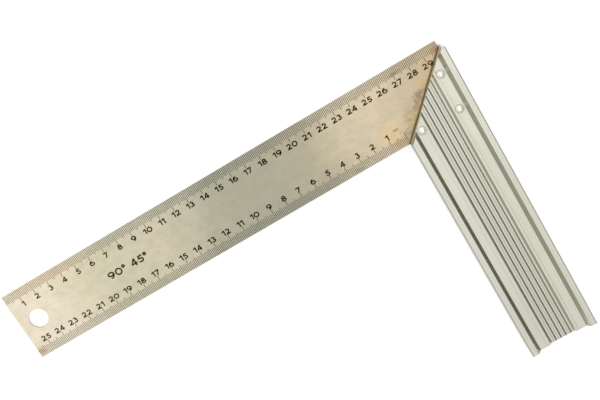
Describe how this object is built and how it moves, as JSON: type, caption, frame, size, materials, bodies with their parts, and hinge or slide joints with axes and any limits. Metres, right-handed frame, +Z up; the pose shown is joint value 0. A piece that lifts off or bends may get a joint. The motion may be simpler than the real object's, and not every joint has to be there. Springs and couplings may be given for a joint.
{
  "type": "try and mitre square",
  "caption": "Fixed carpenter's try-and-mitre square: graduated steel blade riveted into an extruded aluminium stock with a 45 degree mitred head.",
  "frame": {"origin": "under the middle of the whole square's bounding box, in the plane of the stock's underside, with the square lying flat", "axes": "+X along the blade from its free end towards the stock, +Y square to the blade from the stock's far end towards the blade's outer edge, +Z up through the thickness"},
  "size_m": [0.3026, 0.1968, 0.019],
  "materials": {
    "blade_steel": "fine brushed stainless steel with a warm tarnish near the stock",
    "stock_aluminium": "satin extruded aluminium",
    "rivet_aluminium": "bright upset rivet heads",
    "scale_ink": "dark brown etched and filled graduations, used by the visual model's marks"
  },
  "bodies": {
    "root": {"blade": "blade_steel", "stock": "stock_aluminium", "rivet_nose": "rivet_aluminium", "rivet_outer": "rivet_aluminium", "rivet_inner": "rivet_aluminium"}
  },
  "joints": []
}
